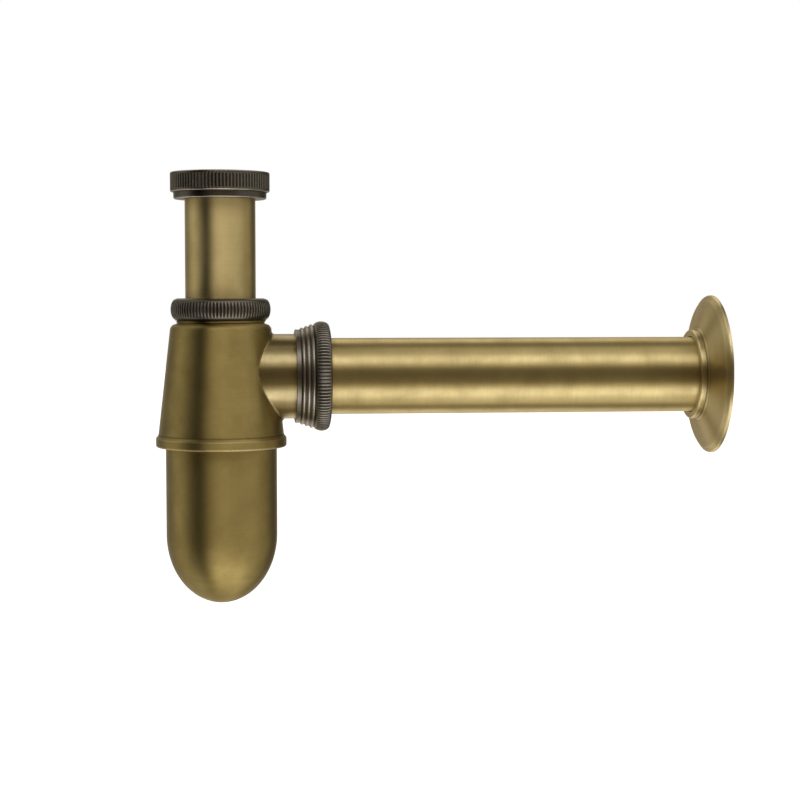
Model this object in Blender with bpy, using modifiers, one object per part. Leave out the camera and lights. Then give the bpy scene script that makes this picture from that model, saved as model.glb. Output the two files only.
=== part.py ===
"""Bottle trap for a basin: inlet tube and nuts, conical body, screw-off bowl, outlet tube, wall flange.

Lengths are in millimetres and MM turns them into Blender's metres. The origin is where the inlet axis
meets the top plane of the inlet nut. +Z points up to the basin and +X points along the outlet to the wall.
Threads are plain cylinders near their pitch radius, so that every screwed pair keeps a running gap.
"""

from math import cos, pi, radians, sin

import bpy

MM = 0.001
STEPS = 36  # facets round every turned piece
GAP = 0.3  # left between pieces that touch on the real trap
WELD = 1e-5  # metres, joins the first and last column of a turned surface
SMOOTH_BELOW = radians(35)
CUTTER_PAST = 3.0  # how far a cutter reaches beyond the face that it opens
NUT_CLEARANCE = 0.35  # between a nut's lip and the tube that runs through it

# Tubes
INLET_R = 16.0
INLET_BORE_R = 15.0
INLET_END_Z = -170.0
FLARE_R = 19.6
OUTLET_R = 17.5
OUTLET_BORE_R = 16.3
OUTLET_TUBE_START_X = 28.0
OUTLET_TUBE_END_X = 232.0
OUTLET_Z = -92.7

# Union threads, 1 1/4 inch pipe thread shown as plain cylinders
UNION_MALE_R = 20.05
UNION_FEMALE_R = 20.35

# Inlet nut
INLET_NUT_R = 22.5
INLET_NUT_RING_Z = -8.9
INLET_NUT_LIP_R = 21.0
INLET_NUT_END_Z = -12.1
LIP_THICK = 1.9
FLARE_THICK = 1.2
INLET_WASHER_THICK = 2.4

# Body nut
BODY_NUT_R = 22.7
BODY_NUT_CROWN = 2.4
BODY_NUT_TOP_Z = -57.0
BODY_NUT_END_Z = -67.0

# Body
NECK_TOP_Z = -61.2
NECK_END_Z = -68.2
SEAT_MOUTH_R = 18.4
SEAT_DEPTH = 5.0
GUIDE_R = INLET_R + 0.7
GUIDE_END_Z = -71.5
CHAMBER_TOP_Z = -75.5
SHOULDER_R = 23.1
SHOULDER_FILLET = 3.0
SHOULDER_Z = -71.6
SKIRT_R = 29.75
SKIRT_STEP = 1.0
SKIRT_SLOPE = 1.5  # height of the slope that leads out to the skirt
SKIRT_TOP_Z = -120.6
SKIRT_END_Z = -124.6
BODY_WALL = 2.4
GASKET_SEAT_Z = -112.0
GASKET_SEAT_BORE_R = 22.2
GASKET_LIP_THICK = 1.6
GASKET_LIP_SLOPE = 2.2
BOWL_FEMALE_R = 24.9
THREAD_END_Z = -120.7
SKIRT_BORE_R = 25.6

# Bowl
BOWL_R = 25.3
BOWL_WALL = 1.5
BOWL_MALE_R = 24.6
BOWL_RIM_BORE_R = 22.4
GASKET_THICK = 2.0
DOME_TOP_Z = -164.9
DOME_DEPTH = 31.6

# Outlet spigot and nut, as distances along +X from the inlet axis
SPIGOT_ROOT_R = 19.4
SPIGOT_START_X = 8.0
SPIGOT_CORE_START_X = 4.0
SPIGOT_THREAD_START_X = 34.7
SPIGOT_END_X = 44.6
SPIGOT_SEAT_MOUTH_R = 18.8
SPIGOT_GUIDE_R = OUTLET_R + 0.45
OUTLET_NUT_START_X = 33.7
OUTLET_NUT_END_X = 49.5
OUTLET_NUT_TAIL_R = 21.5
OUTLET_NUT_R = 25.2
OUTLET_NUT_CROWN = 2.3
OUTLET_BAND_X = 45.75
OUTLET_BAND_HALF = 3.55
OUTLET_RINGS = 3
OUTLET_RING_R = 23.8
OUTLET_RING_X = 41.1
OUTLET_RING_PITCH = 2.15
OUTLET_RING_FALL = 0.75
OUTLET_RING_DEPTH = 0.85
OUTLET_LIP_THICK = 2.1

# Seals and slip rings
SLIP_RING_THICK = 0.7
OUTLET_SLIP_RING_THICK = 1.1
CONE_BRIM = 0.7
BODY_CONE_DEPTH = 3.4
OUTLET_CONE_DEPTH = 2.6

# Wall flange
FLANGE_R = 37.0
FLANGE_BACK_X = 230.0
FLANGE_SHEET = 1.2
RIM_WIDTH = 1.5
COLLAR_R = 20.9
COLLAR_START_X = 219.6
COLLAR_FOLD = 1.0
COLLAR_NECK_X = 222.4
FLANGE_CROWN = ((34.6, 2.95), (30.0, 4.15), (25.4, 5.5))  # radius, and height above the wall
GRIP_RING_R = 1.0  # of its round section
GRIP_RING_X = 222.0

MATERIALS = {
    "antique_brass": ((0.52, 0.41, 0.165), 1.0, 0.44),
    "dark_bronze": ((0.15, 0.135, 0.105), 1.0, 0.33),
    "black_rubber": ((0.02, 0.02, 0.02), 0.0, 0.75),
    "white_nylon": ((0.72, 0.70, 0.64), 0.0, 0.45),
}


def clear_scene():
    for obj in list(bpy.data.objects):
        bpy.data.objects.remove(obj, do_unlink=True)


def new_collection(name):
    collection = bpy.data.collections.new(name)
    bpy.context.scene.collection.children.link(collection)
    return collection


def material(name):
    if name in bpy.data.materials:
        return bpy.data.materials[name]
    colour, metallic, roughness = MATERIALS[name]
    made = bpy.data.materials.new(name)
    made.use_nodes = True
    shader = made.node_tree.nodes["Principled BSDF"]
    shader.inputs["Base Color"].default_value = (*colour, 1.0)
    shader.inputs["Metallic"].default_value = metallic
    shader.inputs["Roughness"].default_value = roughness
    return made


def arc(centre_r, centre_z, radius, start, end, count, stretch=1.0):
    """Points on an arc, angles in degrees from the radial direction; stretch scales its height."""
    angles = [radians(start + (end - start) * i / count) for i in range(count + 1)]
    return [(centre_r + radius * cos(a), centre_z + stretch * radius * sin(a)) for a in angles]


def facing_out(outline):
    """The outline in the direction that makes the turned surface face outwards: down its outer side."""
    ends = outline[1:] + outline[:1]
    doubled_area = sum(r0 * z1 - r1 * z0 for (r0, z0), (r1, z1) in zip(outline, ends))
    return outline[::-1] if doubled_area > 0 else outline


def turned(name, outline, collection, parent=None):
    """A solid turned about its own Z from (radius, height) points. An end on the axis stays open."""
    points = facing_out(outline)
    on_axis = [i for i, (radius, _) in enumerate(points) if radius == 0]
    if on_axis and on_axis != [0, len(points) - 1]:
        first = on_axis[1] if on_axis[1] - on_axis[0] == 1 else on_axis[0]
        points = points[first:] + points[:first]
    edges = [(i, i + 1) for i in range(len(points) - 1)]
    if not on_axis:
        edges.append((len(points) - 1, 0))
    mesh = bpy.data.meshes.new(name)
    mesh.from_pydata([(r * MM, 0, z * MM) for r, z in points], edges, [])
    obj = bpy.data.objects.new(name, mesh)
    collection.objects.link(obj)
    obj.parent = parent
    screw = obj.modifiers.new("turn", "SCREW")
    screw.axis = "Z"
    screw.angle = 2 * pi
    screw.steps = screw.render_steps = STEPS
    screw.use_merge_vertices = True
    screw.merge_threshold = WELD
    return obj


def boolean(target, other, operation):
    change = target.modifiers.new(f"{operation} {other.name}", "BOOLEAN")
    change.operation = operation
    change.solver = "EXACT"
    change.object = other


def hide_as_cutter(obj):
    obj.hide_render = True
    obj.display_type = "WIRE"


def finish(obj, material_name):
    """Makes what the modifiers give the object's own mesh, shades it and gives it its material."""
    bpy.context.view_layer.update()
    evaluated = obj.evaluated_get(bpy.context.evaluated_depsgraph_get())
    obj.data = bpy.data.meshes.new_from_object(evaluated)
    obj.data.name = obj.name
    obj.modifiers.clear()
    obj.data.shade_smooth()
    obj.data.set_sharp_from_angle(angle=SMOOTH_BELOW)
    obj.data.materials.clear()
    obj.data.materials.append(material(material_name))


def rectangle(inner_r, outer_r, low, high):
    return [(outer_r, high), (outer_r, low), (inner_r, low), (inner_r, high)]


def inlet_nut_outline():
    edge = 1.0
    lip_edge = 0.6
    bore_top = INLET_NUT_END_Z + LIP_THICK
    return [
        (UNION_FEMALE_R + 0.7, 0.0),
        *arc(INLET_NUT_R - edge, -edge, edge, 90, 0, 3),
        *arc(INLET_NUT_R - edge, INLET_NUT_RING_Z + edge, edge, 0, -90, 3),
        (INLET_NUT_LIP_R, INLET_NUT_RING_Z),
        (INLET_NUT_LIP_R, INLET_NUT_END_Z + lip_edge),
        (INLET_NUT_LIP_R - lip_edge, INLET_NUT_END_Z),
        (INLET_R + NUT_CLEARANCE, INLET_NUT_END_Z),
        (INLET_R + NUT_CLEARANCE, bore_top),
        (UNION_FEMALE_R, bore_top),
        (UNION_FEMALE_R, -0.7),
    ]


def inlet_tube_outline(flare_low):
    flare_high = flare_low + FLARE_THICK
    return [
        (INLET_BORE_R + 0.5, flare_high),
        (FLARE_R, flare_high),
        (FLARE_R, flare_low),
        (INLET_R, flare_low),
        (INLET_R, INLET_END_Z),
        (INLET_BORE_R, INLET_END_Z),
        (INLET_BORE_R, flare_high - 0.5),
    ]


def body_nut_outline():
    """A cushion-shaped nut: the outside bulges, with a flat lip on top that presses the slip ring."""
    half = (BODY_NUT_TOP_Z - BODY_NUT_END_Z) / 2
    crown = BODY_NUT_CROWN
    lip_low = BODY_NUT_TOP_Z - LIP_THICK
    bore_r = INLET_R + NUT_CLEARANCE
    return [
        (bore_r, BODY_NUT_TOP_Z),
        (BODY_NUT_R - crown - 0.5, BODY_NUT_TOP_Z),
        *arc(BODY_NUT_R - crown, BODY_NUT_TOP_Z - half, crown, 75, -75, 8, (half - GAP) / crown),
        (BODY_NUT_R - crown + 0.5, BODY_NUT_END_Z),
        (UNION_FEMALE_R, BODY_NUT_END_Z),
        (UNION_FEMALE_R, lip_low),
        (bore_r, lip_low),
    ]


def cone_washer_outline(bore_r, mouth, mouth_r, guide_r, depth):
    """A tapered seal, with a brim on the mouth of the seat that narrows from mouth_r to guide_r."""
    nose_r = mouth_r - (mouth_r - guide_r) * depth / SEAT_DEPTH - GAP
    brim_r = UNION_MALE_R - 0.5
    return [
        (bore_r, mouth + GAP + CONE_BRIM),
        (brim_r, mouth + GAP + CONE_BRIM),
        (brim_r, mouth + GAP),
        (mouth_r - 0.35, mouth + GAP),
        (nose_r, mouth - depth),
        (bore_r, mouth - depth),
    ]


def body_shell_outline():
    edge = 0.4
    return [
        (0, NECK_TOP_Z),
        (UNION_MALE_R - edge, NECK_TOP_Z),
        (UNION_MALE_R, NECK_TOP_Z - edge),
        (UNION_MALE_R, NECK_END_Z),
        *arc(SHOULDER_R - SHOULDER_FILLET, SHOULDER_Z, SHOULDER_FILLET, 80, 0, 4),
        (cone_radius(SKIRT_TOP_Z + SKIRT_SLOPE), SKIRT_TOP_Z + SKIRT_SLOPE),
        (SKIRT_R, SKIRT_TOP_Z),
        (SKIRT_R, SKIRT_END_Z + edge),
        (SKIRT_R - edge, SKIRT_END_Z),
        (0, SKIRT_END_Z),
    ]


def cone_radius(z):
    """Outside radius of the conical part of the body at a height."""
    share = (SHOULDER_Z - z) / (SHOULDER_Z - SKIRT_TOP_Z)
    return SHOULDER_R + share * (SKIRT_R - SKIRT_STEP - SHOULDER_R)


def body_core_outline():
    """The room inside the body: washer seat, guide bore, chamber, gasket seat and bowl thread."""
    lip_high = GASKET_SEAT_Z + GASKET_LIP_THICK
    chamber_low = lip_high + GASKET_LIP_SLOPE
    return [
        (0, NECK_TOP_Z + CUTTER_PAST),
        (SEAT_MOUTH_R, NECK_TOP_Z + CUTTER_PAST),
        (SEAT_MOUTH_R, NECK_TOP_Z),
        (GUIDE_R, NECK_TOP_Z - SEAT_DEPTH),
        (GUIDE_R, GUIDE_END_Z),
        (cone_radius(CHAMBER_TOP_Z) - BODY_WALL, CHAMBER_TOP_Z),
        (cone_radius(chamber_low) - BODY_WALL, chamber_low),
        (GASKET_SEAT_BORE_R, lip_high),
        (GASKET_SEAT_BORE_R, GASKET_SEAT_Z),
        (BOWL_FEMALE_R, GASKET_SEAT_Z),
        (BOWL_FEMALE_R, THREAD_END_Z),
        (SKIRT_BORE_R, THREAD_END_Z),
        (SKIRT_BORE_R, SKIRT_END_Z - CUTTER_PAST),
        (0, SKIRT_END_Z - CUTTER_PAST),
    ]


def spigot_outline():
    edge = 0.4
    return [
        (0, SPIGOT_START_X),
        (SPIGOT_ROOT_R, SPIGOT_START_X),
        (SPIGOT_ROOT_R, SPIGOT_THREAD_START_X - edge),
        (UNION_MALE_R, SPIGOT_THREAD_START_X),
        (UNION_MALE_R, SPIGOT_END_X - edge),
        (UNION_MALE_R - edge, SPIGOT_END_X),
        (0, SPIGOT_END_X),
    ]


def spigot_core_outline():
    return [
        (0, SPIGOT_CORE_START_X),
        (SPIGOT_GUIDE_R, SPIGOT_CORE_START_X),
        (SPIGOT_GUIDE_R, SPIGOT_END_X - SEAT_DEPTH),
        (SPIGOT_SEAT_MOUTH_R, SPIGOT_END_X),
        (SPIGOT_SEAT_MOUTH_R, SPIGOT_END_X + CUTTER_PAST),
        (0, SPIGOT_END_X + CUTTER_PAST),
    ]


def bowl_outline():
    """A cup with a long rounded bottom; its threaded rim is thicker than its wall."""
    rim_z = GASKET_SEAT_Z - 2 * GAP - GASKET_THICK
    inner_r = BOWL_R - BOWL_WALL
    inner_stretch = (DOME_DEPTH - BOWL_WALL) / inner_r
    inner_dome = arc(0, DOME_TOP_Z, inner_r, -90, 0, 9, inner_stretch)
    outer_dome = arc(0, DOME_TOP_Z, BOWL_R, 0, -90, 10, DOME_DEPTH / BOWL_R)
    return [
        (0, inner_dome[0][1]),
        *inner_dome[1:],
        (inner_r, THREAD_END_Z - 2.5),
        (BOWL_RIM_BORE_R, THREAD_END_Z - 1.0),
        (BOWL_RIM_BORE_R, rim_z),
        (BOWL_MALE_R, rim_z),
        (BOWL_MALE_R, THREAD_END_Z - GAP),
        (BOWL_R, THREAD_END_Z - GAP),
        *outer_dome[:-1],
        (0, outer_dome[-1][1]),
    ]


def outlet_nut_outline():
    """A tapering, ringed tail, a broad rounded band, and a lip that presses the slip ring."""
    lip_low = OUTLET_NUT_END_X - OUTLET_LIP_THICK
    bore_r = OUTLET_R + NUT_CLEARANCE
    crown = OUTLET_NUT_CROWN
    rings = []
    for i in range(OUTLET_RINGS):
        r = OUTLET_RING_R - i * OUTLET_RING_FALL
        x = OUTLET_RING_X - i * OUTLET_RING_PITCH
        rings += [(r, x + 0.5), (r, x - 0.5), (r - OUTLET_RING_DEPTH, x - OUTLET_RING_PITCH / 2)]
    return [
        (bore_r, OUTLET_NUT_END_X),
        (OUTLET_NUT_R - crown - 0.5, OUTLET_NUT_END_X),
        *arc(OUTLET_NUT_R - crown, OUTLET_BAND_X, crown, 75, -75, 7, OUTLET_BAND_HALF / crown),
        *rings,
        (OUTLET_NUT_TAIL_R, OUTLET_NUT_START_X),
        (UNION_FEMALE_R, OUTLET_NUT_START_X),
        (UNION_FEMALE_R, lip_low),
        (bore_r, lip_low),
    ]


def flange_outline():
    """A spun dome of even thickness from the wall to the collar, which folds in to hold the grip ring."""
    back = FLANGE_BACK_X
    bore_r = OUTLET_R + NUT_CLEARANCE
    fold_x = COLLAR_START_X + COLLAR_FOLD
    return [
        (FLANGE_R, back),
        (FLANGE_R, back - 0.7),
        (FLANGE_R - 0.7, back - 1.8),
        *[(r, back - height) for r, height in FLANGE_CROWN],
        (22.1, back - 6.7),
        (COLLAR_R, COLLAR_NECK_X),
        (COLLAR_R, COLLAR_START_X + 0.8),
        (COLLAR_R - 0.8, COLLAR_START_X),
        (bore_r, COLLAR_START_X),
        (bore_r, fold_x),
        (COLLAR_R - FLANGE_SHEET, fold_x),
        (COLLAR_R - FLANGE_SHEET, COLLAR_NECK_X + 0.6),
        *[(r - 0.2, back - height + FLANGE_SHEET + 0.1) for r, height in reversed(FLANGE_CROWN)],
        (FLANGE_R - RIM_WIDTH, back),
    ]


def grip_ring_outline():
    centre_r = OUTLET_R + GAP / 2 + GRIP_RING_R
    count = 8
    return arc(centre_r, GRIP_RING_X, GRIP_RING_R, 0, 360 - 360 / count, count - 1)


def main():
    clear_scene()
    trap = new_collection("bottle_trap")
    cutters = new_collection("cutters")

    outlet_axis = bpy.data.objects.new("outlet_axis", None)
    outlet_axis.location = (0, 0, OUTLET_Z * MM)
    outlet_axis.rotation_euler = (0, radians(90), 0)
    trap.objects.link(outlet_axis)

    def piece(name, outline, material_name, parent=None):
        finish(turned(name, outline, trap, parent), material_name)

    flare_low = INLET_NUT_END_Z + LIP_THICK + GAP
    washer_low = flare_low + FLARE_THICK + GAP
    piece("inlet_tube", inlet_tube_outline(flare_low), "antique_brass")
    piece(
        "inlet_washer",
        rectangle(INLET_BORE_R + 0.6, FLARE_R, washer_low, washer_low + INLET_WASHER_THICK),
        "black_rubber",
    )
    piece("inlet_nut", inlet_nut_outline(), "dark_bronze")

    body_slip_high = BODY_NUT_TOP_Z - LIP_THICK - GAP
    piece("body_nut", body_nut_outline(), "dark_bronze")
    piece(
        "body_slip_ring",
        rectangle(INLET_R + 0.4, UNION_MALE_R - 0.1, body_slip_high - SLIP_RING_THICK, body_slip_high),
        "white_nylon",
    )
    piece(
        "body_cone_washer",
        cone_washer_outline(INLET_R + GAP, NECK_TOP_Z, SEAT_MOUTH_R, GUIDE_R, BODY_CONE_DEPTH),
        "black_rubber",
    )

    body = turned("trap_body", body_shell_outline(), trap)
    spigot = turned("spigot_solid", spigot_outline(), cutters, outlet_axis)
    body_core = turned("body_core", body_core_outline(), cutters)
    spigot_core = turned("spigot_core", spigot_core_outline(), cutters, outlet_axis)
    boolean(body, spigot, "UNION")
    boolean(body, body_core, "DIFFERENCE")
    boolean(body, spigot_core, "DIFFERENCE")
    finish(body, "antique_brass")
    for cutter in (spigot, body_core, spigot_core):
        hide_as_cutter(cutter)

    gasket_high = GASKET_SEAT_Z - GAP
    piece(
        "bowl_gasket",
        rectangle(BOWL_RIM_BORE_R + 0.1, BOWL_MALE_R - 0.1, gasket_high - GASKET_THICK, gasket_high),
        "black_rubber",
    )
    piece("bowl", bowl_outline(), "antique_brass")

    outlet_slip_high = OUTLET_NUT_END_X - OUTLET_LIP_THICK - GAP
    piece("outlet_nut", outlet_nut_outline(), "dark_bronze", outlet_axis)
    piece(
        "outlet_slip_ring",
        rectangle(
            OUTLET_R + 0.4,
            UNION_MALE_R - 0.1,
            outlet_slip_high - OUTLET_SLIP_RING_THICK,
            outlet_slip_high,
        ),
        "white_nylon",
        outlet_axis,
    )
    piece(
        "outlet_cone_washer",
        cone_washer_outline(
            OUTLET_R + 0.2, SPIGOT_END_X, SPIGOT_SEAT_MOUTH_R, SPIGOT_GUIDE_R, OUTLET_CONE_DEPTH
        ),
        "black_rubber",
        outlet_axis,
    )
    piece(
        "outlet_tube",
        rectangle(OUTLET_BORE_R, OUTLET_R, OUTLET_TUBE_START_X, OUTLET_TUBE_END_X),
        "antique_brass",
        outlet_axis,
    )
    piece("wall_flange", flange_outline(), "antique_brass", outlet_axis)
    piece("flange_grip_ring", grip_ring_outline(), "black_rubber", outlet_axis)


main()
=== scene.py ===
"""The looks of a bottle trap in antique brass: turned metal with real edges, threads and knurling, rubber
and nylon seals, and a small studio. Lengths are in millimetres along each piece's own axis, and MM turns
them into metres."""

from math import atan2, ceil, cos, pi, radians, sin, sqrt, tan
from typing import NamedTuple

import bmesh
import bpy
from mathutils import Matrix, Vector
from mathutils.kdtree import KDTree

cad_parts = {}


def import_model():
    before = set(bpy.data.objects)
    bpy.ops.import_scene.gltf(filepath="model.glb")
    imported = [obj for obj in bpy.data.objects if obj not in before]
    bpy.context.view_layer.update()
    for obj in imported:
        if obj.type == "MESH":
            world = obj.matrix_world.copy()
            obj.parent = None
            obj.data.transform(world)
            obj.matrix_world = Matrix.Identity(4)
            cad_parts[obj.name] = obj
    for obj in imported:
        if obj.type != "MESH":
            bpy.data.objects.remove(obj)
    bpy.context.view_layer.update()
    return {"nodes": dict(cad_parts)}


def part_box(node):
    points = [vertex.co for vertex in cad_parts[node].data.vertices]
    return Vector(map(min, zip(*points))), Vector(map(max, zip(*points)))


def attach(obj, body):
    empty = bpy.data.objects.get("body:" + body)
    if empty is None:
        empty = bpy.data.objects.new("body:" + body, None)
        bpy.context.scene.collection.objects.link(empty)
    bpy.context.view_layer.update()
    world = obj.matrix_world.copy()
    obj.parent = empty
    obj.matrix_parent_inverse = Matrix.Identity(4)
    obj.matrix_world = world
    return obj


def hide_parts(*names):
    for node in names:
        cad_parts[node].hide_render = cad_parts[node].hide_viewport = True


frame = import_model()

MM = 0.001
SEGMENTS = 160
FINE_SEGMENTS = 192
SEAL_SEGMENTS = 128
KNURLED_SEGMENTS = 6  # for each rib
ARC_STEP = radians(14)
SLIVER = 0.03  # points closer than this after a boolean become one
SUPPORT = 0.15  # from a rounded edge to the ring of points that keeps the flat beside it flat

# The pieces' own sizes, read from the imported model
SPAN = {node: tuple(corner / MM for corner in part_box(node)) for node in frame["nodes"]}
OUTLET_Z = (SPAN["outlet_tube"][0].z + SPAN["outlet_tube"][1].z) / 2


def radius_of(node):
    """Outside radius of a turned piece, from its width across the other horizontal axis."""
    low, high = SPAN[node]
    return (high.y - low.y) / 2


def ends_of(node, along="Z"):
    """Where a piece starts and ends along its own axis."""
    low, high = SPAN[node]
    return (low.z, high.z) if along == "Z" else (low.x, high.x)


# Threads: pitch radius, pitch and depth
UNION_THREAD = (20.2, 2.309, 1.25)
BOWL_THREAD = (24.75, 2.0, 0.9)
UNION_R, BOWL_THREAD_R = UNION_THREAD[0], BOWL_THREAD[0]
THREAD_GAP = 0.1  # on each side of the pitch surface
THREAD_STEP = 0.17  # between the rings of points along a thread
UNION_RELIEF_R = 20.35  # the plain bore past a female union thread

# Ribs on the nuts
RIB_PITCH = 1.6
RIB_DEPTH = 0.34

# Tubes, the holes that they pass through, and the lips of the nuts
INLET_R, INLET_BORE_R = 16.0, 15.0
OUTLET_BORE_R = 16.3
INLET_HOLE_R, OUTLET_HOLE_R = 16.35, 17.85
FLARE_THICK = 1.2
TUBE_STEP = 4.0  # between the rings of points along a tube
LIP_THICK, OUTLET_LIP_THICK = 1.9, 2.1
SEAL_GAP = 0.3  # between a rubber seal and the metal that it would press on


class Corner(NamedTuple):
    """A corner of a turned outline. step and relief hold for the stretch from this corner to the next."""

    r: float
    h: float
    fillet: float = 0.0
    step: float = 0.0
    relief: object = None


class Ring(NamedTuple):
    """A ring of points of a turned surface. bend: 1 on an outer edge, -1 in an inner corner, 0 on a flat."""

    r: float
    h: float
    bend: float = 0.0
    relief: object = None


def facing_out(corners):
    """The corners down the outer side and up the inner one."""
    ends = corners[1:] + corners[:1]
    area = sum(a.r * b.h - b.r * a.h for a, b in zip(corners, ends))
    if area <= 0:
        return corners
    turned_round = corners[::-1]
    before = corners[-2::-1] + corners[-1:]
    return [c._replace(step=b.step, relief=b.relief) for c, b in zip(turned_round, before)]


def rounded_corner(before, corner, after):
    """Rings along the arc that rounds one corner, with a support ring on the flat on each side."""
    to_before = Vector((before.r - corner.r, before.h - corner.h))
    to_after = Vector((after.r - corner.r, after.h - corner.h))
    half = to_before.angle(to_after) / 2
    if corner.fillet <= 0 or half > radians(88):
        return [Ring(corner.r, corner.h)]
    reach = min(corner.fillet / tan(half), 0.46 * to_before.length, 0.46 * to_after.length)
    radius = reach * tan(half)
    place = Vector((corner.r, corner.h))
    u, v = to_before.normalized(), to_after.normalized()
    centre = place + (u + v).normalized() * radius / sin(half)
    first, last = place + u * reach, place + v * reach
    swept = pi - 2 * half
    outer = (-u.x * v.y + u.y * v.x) < 0
    count = max(2, ceil(swept / ARC_STEP))
    sense = -1 if outer else 1
    mark = (1 if outer else -1) * min(1.0, swept / radians(60))
    rings = []
    for i in range(count + 1):
        spoke = Matrix.Rotation(sense * swept * i / count, 2) @ (first - centre)
        rings.append(Ring(*(centre + spoke), mark * sin(pi * (i + 0.5) / (count + 1))))
    room = [min(SUPPORT, 0.3 * (side.length - reach)) for side in (to_before, to_after)]
    return [Ring(*(first + u * room[0])), *rings, Ring(*(last + v * room[1]))]


def rings_of(corners, closed):
    """All rings of an outline: rounded corners, and points along the stretches that ask for them."""
    corners = facing_out(corners)
    count = len(corners)
    groups = []
    for i, corner in enumerate(corners):
        if closed or 0 < i < count - 1:
            groups.append(rounded_corner(corners[i - 1], corner, corners[(i + 1) % count]))
        else:
            groups.append([Ring(corner.r, corner.h)])
    result = []
    for i, (group, corner) in enumerate(zip(groups, corners)):
        result.extend(group)
        if not closed and i == count - 1:
            break
        start, goal = group[-1], groups[(i + 1) % count][0]
        length = sqrt((goal.r - start.r) ** 2 + (goal.h - start.h) ** 2)
        if corner.relief:
            result[-1] = start._replace(relief=corner.relief)
        pieces = ceil(length / corner.step) if corner.step else 1
        for k in range(1, pieces):
            share = k / pieces
            r = start.r + (goal.r - start.r) * share
            h = start.h + (goal.h - start.h) * share
            result.append(Ring(r, h, 0.0, corner.relief))
    return result


def rubbed_crest_with_sheen(angle, h):
    """No relief, only a lighter edge that stands proud: partly rubbed brightness, partly a painted highlight.
    """
    return 0.0, 0.6


def arc(centre_r, centre_h, radius, start, end, count, stretch=1.0, relief=None):
    """Corners along an arc, angles in degrees from the radial direction; stretch scales its height."""
    made = []
    for i in range(count + 1):
        a = radians(start + (end - start) * i / count)
        made.append(Corner(centre_r + radius * cos(a), centre_h + stretch * radius * sin(a), relief=relief))
    return made


def thread(size, side, low, high, run=0.9):
    """Relief of a right-hand thread between two heights. side is -1 on a male thread, 1 on a female one."""
    _, pitch, depth = size

    def relief(angle, h):
        phase = (h / pitch - angle / (2 * pi)) % 1.0
        wave = max(-1.0, min(1.0, 1.3 * (abs(phase - 0.5) * 4 - 1)))
        fade = max(0.0, min(1.0, (h - low) / run, (high - h) / run))
        # The second value lightens the thread's crests: partly rubbed wear, partly a painted highlight.
        return fade * (depth / 2 * wave + side * THREAD_GAP), 0.5 * fade * max(0.0, -side * wave)

    return relief


def knurl(count, low, high, run=1.2, depth=RIB_DEPTH):
    """Relief of straight ribs along the axis, cut into the surface between two heights."""

    def relief(angle, h):
        fade = max(0.0, min(1.0, (h - low) / run, (high - h) / run))
        fade = fade * fade * (3 - 2 * fade)
        valley = 0.5 - 0.5 * cos(count * angle)
        # The second value lightens the rib crests: partly rubbed wear, partly painted glints.
        return -depth * fade * valley**0.8, 0.8 * fade * (1 - valley) ** 2

    return relief


def placed(along, x, y, h):
    """World place, in metres, of a point given about a piece's axis: upright, or along the outlet."""
    if along == "Z":
        return Vector((x, y, h)) * MM
    return Vector((h, y, OUTLET_Z - x)) * MM


def lathe(name, corners, along="Z", segments=SEGMENTS, closed=True):
    """A turned mesh with the marks its material reads: grain is the point about its own axis; the edge mark
    lightens the edges that hands and cloths polish, partly rubbed wear and partly a painted highlight; the
    corner mark darkens the corners where the finish stays dark, partly patina and partly painted shade."""
    rings = rings_of(corners, closed)
    mesh = bpy.data.meshes.new(name)
    bm = bmesh.new()
    grain = bm.verts.layers.float_vector.new("grain")
    wear_and_sheen = bm.verts.layers.float.new("wear_and_sheen")
    grime_and_shade = bm.verts.layers.float.new("grime_and_shade")
    columns = []
    for ring in rings:
        on_axis = ring.r < 1e-6
        column = []
        for j in range(1 if on_axis else segments):
            angle = 2 * pi * j / segments
            offset, crest_wear_and_sheen = ring.relief(angle, ring.h) if ring.relief else (0.0, 0.0)
            r = ring.r + offset
            x, y = r * cos(angle), r * sin(angle)
            vert = bm.verts.new(placed(along, x, y, ring.h))
            vert[grain] = Vector((x, y, ring.h))
            # Outer edges and crests are lightened (rubbed wear plus a painted highlight); inner corners and
            # the valleys of ribs and threads are darkened (grime plus painted shade).
            vert[wear_and_sheen] = min(1.0, max(0.0, ring.bend) + crest_wear_and_sheen)
            vert[grime_and_shade] = max(0.0, -ring.bend) + min(1.0, abs(offset) / RIB_DEPTH if offset < 0 else 0.0)
            column.append(vert)
        columns.append(column * segments if on_axis else column)
    last = len(columns) if closed else len(columns) - 1
    for i in range(last):
        upper, lower = columns[i], columns[(i + 1) % len(columns)]
        for j in range(segments):
            k = (j + 1) % segments
            face = [upper[j], lower[j], lower[k], upper[k]]
            bm.faces.new([v for n, v in enumerate(face) if v not in face[:n]])
    bm.to_mesh(mesh)
    bm.free()
    mesh.shade_smooth()
    mesh.set_sharp_from_angle(angle=radians(60))
    obj = bpy.data.objects.new(name, mesh)
    bpy.context.scene.collection.objects.link(obj)
    return obj


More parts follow.
